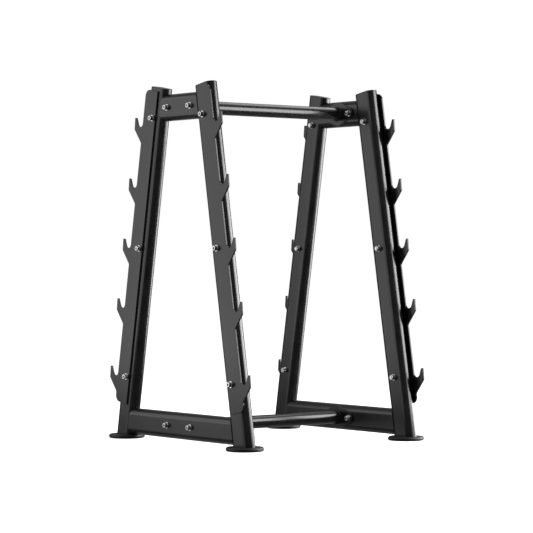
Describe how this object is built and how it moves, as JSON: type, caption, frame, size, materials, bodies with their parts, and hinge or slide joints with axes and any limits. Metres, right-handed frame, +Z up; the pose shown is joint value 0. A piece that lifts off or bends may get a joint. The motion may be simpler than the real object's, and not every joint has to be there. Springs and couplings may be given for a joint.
{
  "type": "barbell rack",
  "caption": "Free-standing two-sided A-frame rack with rows of open hooks that hold fixed barbells across two end frames joined by round tie tubes.",
  "frame": {"origin": "on the floor, under the middle of the rack", "axes": "+X along the stored bars, +Y across the rack's depth, +Z up"},
  "size_m": [0.908, 0.8896, 1.3414],
  "materials": {
    "frame_coat": "satin black powder coat",
    "plate_coat": "satin black powder coat on flat plate",
    "weld_coat": "coated weld bead",
    "cap_plastic": "glossy moulded cap",
    "foot_rubber": "moulded rubber",
    "zinc": "bright plated steel",
    "nylon": "nylon insert"
  },
  "bodies": {
    "root": {"left_front_leg": "frame_coat", "left_front_leg_cap": "cap_plastic", "left_front_foot_plate": "frame_coat", "left_front_rubber_foot": "foot_rubber", "left_front_hook_plate": "plate_coat", "left_rear_leg": "frame_coat", "left_rear_leg_cap": "cap_plastic", "left_rear_foot_plate": "frame_coat", "left_rear_rubber_foot": "foot_rubber", "left_rear_hook_plate": "plate_coat", "left_top_crossbeam": "frame_coat", "left_bottom_crossbeam": "frame_coat", "left_frame_welds": "weld_coat", "left_plate_bolts": "zinc", "left_plate_washers": "zinc", "left_plate_nuts": "zinc", "left_plate_nut_inserts": "nylon", "left_plate_sleeves": "zinc", "left_tie_bolts": "zinc", "left_tie_washers": "zinc", "left_tie_nuts": "zinc", "left_tie_nut_inserts": "nylon", "left_tie_sleeves": "zinc", "right_front_leg": "frame_coat", "right_front_leg_cap": "cap_plastic", "right_front_foot_plate": "frame_coat", "right_front_rubber_foot": "foot_rubber", "right_front_hook_plate": "plate_coat", "right_rear_leg": "frame_coat", "right_rear_leg_cap": "cap_plastic", "right_rear_foot_plate": "frame_coat", "right_rear_rubber_foot": "foot_rubber", "right_rear_hook_plate": "plate_coat", "right_top_crossbeam": "frame_coat", "right_bottom_crossbeam": "frame_coat", "right_frame_welds": "weld_coat", "right_plate_bolts": "zinc", "right_plate_washers": "zinc", "right_plate_nuts": "zinc", "right_plate_nut_inserts": "nylon", "right_plate_sleeves": "zinc", "right_tie_bolts": "zinc", "right_tie_washers": "zinc", "right_tie_nuts": "zinc", "right_tie_nut_inserts": "nylon", "right_tie_sleeves": "zinc", "top_tie_tube": "frame_coat", "top_tie_left_flange": "frame_coat", "top_tie_right_flange": "frame_coat", "bottom_tie_tube": "frame_coat", "bottom_tie_left_flange": "frame_coat", "bottom_tie_right_flange": "frame_coat", "tie_tube_welds": "weld_coat", "foot_screws": "zinc", "foot_washers": "zinc"}
  },
  "joints": []
}
